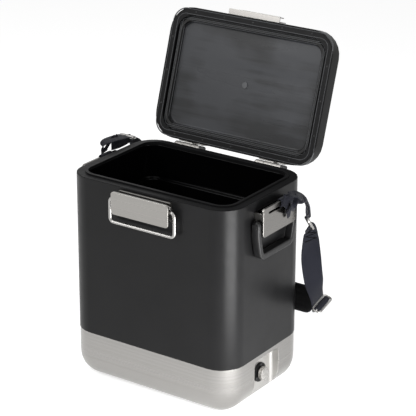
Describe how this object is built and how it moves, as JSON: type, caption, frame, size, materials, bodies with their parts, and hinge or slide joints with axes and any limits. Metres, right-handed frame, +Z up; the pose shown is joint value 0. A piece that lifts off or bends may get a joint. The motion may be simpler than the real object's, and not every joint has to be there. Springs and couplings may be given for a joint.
{
  "type": "steel cooler",
  "caption": "Upright insulated steel cooler with a back-hinged lid, a draw latch, drop handles, a drain plug and a carrying strap.",
  "frame": {"origin": "centre of the flat under the base", "axes": "+Z up, -Y towards the latch at the front, +X to the cooler's right"},
  "size_m": [0.463, 0.3821, 0.6363],
  "materials": {
    "black_paint": "satin powder coat",
    "brushed_steel": "brushed along the walls",
    "fitting_steel": "fine satin",
    "bright_steel": "polished",
    "black_metal": "satin black",
    "rim_plastic": "satin black",
    "liner_plastic": "gloss black",
    "lid_panel": "fine grain dark grey",
    "foam": "rigid foam",
    "rubber": "matte",
    "webbing": "woven strap, dark blue grey",
    "pad_fabric": "padded black fabric"
  },
  "bodies": {
    "cooler": {"outer_shell": "black_paint", "steel_base": "brushed_steel", "insulation_core": "foam", "inner_liner": "liner_plastic", "rim_collar": "rim_plastic", "hinge_body_leaf_right": "fitting_steel", "hinge_pin_right": "black_metal", "hinge_body_leaf_left": "fitting_steel", "hinge_pin_left": "black_metal", "latch_bracket": "fitting_steel", "latch_hinge_pin": "bright_steel", "side_bracket_right": "fitting_steel", "handle_pin_right_front": "black_metal", "handle_pin_right_back": "black_metal", "side_bracket_left": "fitting_steel", "handle_pin_left_front": "black_metal", "handle_pin_left_back": "black_metal", "drain_body": "rim_plastic", "drain_nut": "rim_plastic", "strap_tab_right": "webbing", "strap_ring_right": "bright_steel", "strap_webbing": "webbing", "tri_glide": "bright_steel", "shoulder_pad": "pad_fabric", "strap_ring_left": "bright_steel", "strap_tab_left": "webbing"},
    "lid": {"lid_shell": "black_paint", "lid_ring": "rim_plastic", "lid_inner_panel": "lid_panel", "lid_foam_core": "foam", "lid_gasket": "rubber", "lid_port_plug": "rim_plastic", "lid_catch": "fitting_steel", "hinge_lid_leaf_right": "fitting_steel", "hinge_lid_leaf_left": "fitting_steel"},
    "latch_lever": {"latch_lever": "fitting_steel"},
    "latch_bail": {"latch_bail": "bright_steel"},
    "handle_right": {"handle_right": "black_metal"},
    "handle_left": {"handle_left": "black_metal"},
    "drain_plug": {"drain_seal": "rubber"},
    "drain_knob": {"drain_knob": "fitting_steel"}
  },
  "joints": [
    {"name": "lid_hinge", "type": "hinge", "parent": "cooler", "child": "lid", "pos_m": [0, 0.1296, 0.3877], "axis": [-1, 0, 0], "range_deg": [-107.67, 0]},
    {"name": "latch_lever_hinge", "type": "hinge", "parent": "cooler", "child": "latch_lever", "pos_m": [0, -0.1345, 0.381], "axis": [1, 0, 0], "range_deg": [-95, 0]},
    {"name": "latch_bail_hinge", "type": "hinge", "parent": "latch_lever", "child": "latch_bail", "pos_m": [0, -0.134, 0.3733], "axis": [-1, 0, 0], "range_deg": [0, 188]},
    {"name": "handle_right_hinge", "type": "hinge", "parent": "cooler", "child": "handle_right", "pos_m": [0.185, 0, 0.352], "axis": [0, -1, 0], "range_deg": [0, 90]},
    {"name": "handle_left_hinge", "type": "hinge", "parent": "cooler", "child": "handle_left", "pos_m": [-0.185, 0, 0.352], "axis": [0, 1, 0], "range_deg": [0, 90]},
    {"name": "drain_travel", "type": "slide", "parent": "cooler", "child": "drain_plug", "axis": [1, 0, 0], "range_m": [0, 0.012]},
    {"name": "drain_turn", "type": "hinge", "parent": "drain_plug", "child": "drain_knob", "pos_m": [0.17, 0, 0.047], "axis": [1, 0, 0], "range_deg": [0, 1440]}
  ],
  "couplings": [
    {"joint": "drain_travel", "follows": "drain_turn", "m_per_rad": 0.00047699}
  ]
}
